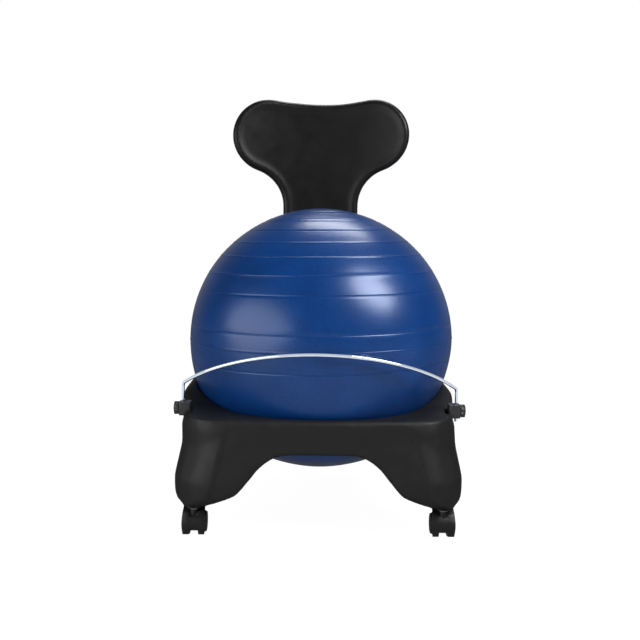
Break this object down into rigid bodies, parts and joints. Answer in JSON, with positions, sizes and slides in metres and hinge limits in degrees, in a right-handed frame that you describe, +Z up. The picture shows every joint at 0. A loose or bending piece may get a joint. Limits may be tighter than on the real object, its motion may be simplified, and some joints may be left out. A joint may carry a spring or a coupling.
{
  "type": "balance ball chair",
  "caption": "Ball chair: an inflated exercise ball cupped in a low four-legged base on twin-wheel casters, with a retaining bar in front and a lobed backrest behind.",
  "frame": {"origin": "the point of the floor under the ball's centre", "axes": "+Z up, the sitter faces -Y, +X to the right of a viewer in front of the chair"},
  "size_m": [0.5236, 0.5347, 0.806],
  "materials": {
    "base_plastic": "fine textured, blow-moulded, black",
    "pad_foam": "satin self-skinned foam, black",
    "plywood": "bare plywood",
    "coated_steel": "satin black powder coat",
    "zinc_steel": "zinc plated",
    "brass": "turned",
    "clamp_plastic": "satin moulded, black",
    "bar_chrome": "bright plated",
    "ball_vinyl": "satin pearly vinyl, blue",
    "plug_plastic": "satin moulded, white",
    "socket_nylon": "moulded, black",
    "caster_nylon": "moulded nylon, black"
  },
  "bodies": {
    "base": {"base_moulding": "base_plastic", "backrest_pad": "pad_foam", "backrest_board": "plywood", "backrest_upright": "coated_steel", "upright_bolts": "zinc_steel", "upright_washers": "zinc_steel", "upright_inserts": "brass", "pad_screws": "zinc_steel", "left_clamp_block": "clamp_plastic", "right_clamp_block": "clamp_plastic", "clamp_screws": "zinc_steel", "front_left_caster_socket": "socket_nylon", "front_right_caster_socket": "socket_nylon", "rear_left_caster_socket": "socket_nylon", "rear_right_caster_socket": "socket_nylon"},
    "ball": {"ball": "ball_vinyl", "ball_plug": "plug_plastic"},
    "bar": {"retaining_bar": "bar_chrome"},
    "left_knob": {"left_clamp_knob": "clamp_plastic", "left_clamp_stud": "zinc_steel"},
    "right_knob": {"right_clamp_knob": "clamp_plastic", "right_clamp_stud": "zinc_steel"},
    "front_left_caster": {"front_left_caster_stem": "zinc_steel", "front_left_caster_hood": "caster_nylon", "front_left_caster_axle": "zinc_steel"},
    "front_left_left_wheel": {"front_left_left_wheel": "caster_nylon"},
    "front_left_right_wheel": {"front_left_right_wheel": "caster_nylon"},
    "front_right_caster": {"front_right_caster_stem": "zinc_steel", "front_right_caster_hood": "caster_nylon", "front_right_caster_axle": "zinc_steel"},
    "front_right_left_wheel": {"front_right_left_wheel": "caster_nylon"},
    "front_right_right_wheel": {"front_right_right_wheel": "caster_nylon"},
    "rear_left_caster": {"rear_left_caster_stem": "zinc_steel", "rear_left_caster_hood": "caster_nylon", "rear_left_caster_axle": "zinc_steel"},
    "rear_left_left_wheel": {"rear_left_left_wheel": "caster_nylon"},
    "rear_left_right_wheel": {"rear_left_right_wheel": "caster_nylon"},
    "rear_right_caster": {"rear_right_caster_stem": "zinc_steel", "rear_right_caster_hood": "caster_nylon", "rear_right_caster_axle": "zinc_steel"},
    "rear_right_left_wheel": {"rear_right_left_wheel": "caster_nylon"},
    "rear_right_right_wheel": {"rear_right_right_wheel": "caster_nylon"}
  },
  "joints": [
    {"name": "ball_lift", "type": "slide", "parent": "base", "child": "ball", "axis": [0, -0.1392, 0.9903], "range_m": [0, 0.3]},
    {"name": "bar_lift", "type": "slide", "parent": "base", "child": "bar", "axis": [0, 0, 1], "range_m": [0, 0.04]},
    {"name": "left_knob_turn", "type": "hinge", "parent": "base", "child": "left_knob", "pos_m": [-0.2493, -0.157, 0.2135], "axis": [-1, 0, 0], "range_deg": [0, 360]},
    {"name": "right_knob_turn", "type": "hinge", "parent": "base", "child": "right_knob", "pos_m": [0.2493, -0.157, 0.2135], "axis": [1, 0, 0], "range_deg": [0, 360]},
    {"name": "front_left_swivel", "type": "hinge", "parent": "base", "child": "front_left_caster", "pos_m": [-0.216, -0.216, 0.052], "axis": [0, 0, 1], "continuous": true},
    {"name": "front_left_left_roll", "type": "hinge", "parent": "front_left_caster", "child": "front_left_left_wheel", "pos_m": [-0.216, -0.204, 0.0225], "axis": [1, 0, 0], "continuous": true},
    {"name": "front_left_right_roll", "type": "hinge", "parent": "front_left_caster", "child": "front_left_right_wheel", "pos_m": [-0.216, -0.204, 0.0225], "axis": [1, 0, 0], "continuous": true},
    {"name": "front_right_swivel", "type": "hinge", "parent": "base", "child": "front_right_caster", "pos_m": [0.216, -0.216, 0.052], "axis": [0, 0, 1], "continuous": true},
    {"name": "front_right_left_roll", "type": "hinge", "parent": "front_right_caster", "child": "front_right_left_wheel", "pos_m": [0.216, -0.204, 0.0225], "axis": [1, 0, 0], "continuous": true},
    {"name": "front_right_right_roll", "type": "hinge", "parent": "front_right_caster", "child": "front_right_right_wheel", "pos_m": [0.216, -0.204, 0.0225], "axis": [1, 0, 0], "continuous": true},
    {"name": "rear_left_swivel", "type": "hinge", "parent": "base", "child": "rear_left_caster", "pos_m": [-0.216, 0.216, 0.052], "axis": [0, 0, 1], "continuous": true},
    {"name": "rear_left_left_roll", "type": "hinge", "parent": "rear_left_caster", "child": "rear_left_left_wheel", "pos_m": [-0.216, 0.228, 0.0225], "axis": [1, 0, 0], "continuous": true},
    {"name": "rear_left_right_roll", "type": "hinge", "parent": "rear_left_caster", "child": "rear_left_right_wheel", "pos_m": [-0.216, 0.228, 0.0225], "axis": [1, 0, 0], "continuous": true},
    {"name": "rear_right_swivel", "type": "hinge", "parent": "base", "child": "rear_right_caster", "pos_m": [0.216, 0.216, 0.052], "axis": [0, 0, 1], "continuous": true},
    {"name": "rear_right_left_roll", "type": "hinge", "parent": "rear_right_caster", "child": "rear_right_left_wheel", "pos_m": [0.216, 0.228, 0.0225], "axis": [1, 0, 0], "continuous": true},
    {"name": "rear_right_right_roll", "type": "hinge", "parent": "rear_right_caster", "child": "rear_right_right_wheel", "pos_m": [0.216, 0.228, 0.0225], "axis": [1, 0, 0], "continuous": true}
  ]
}
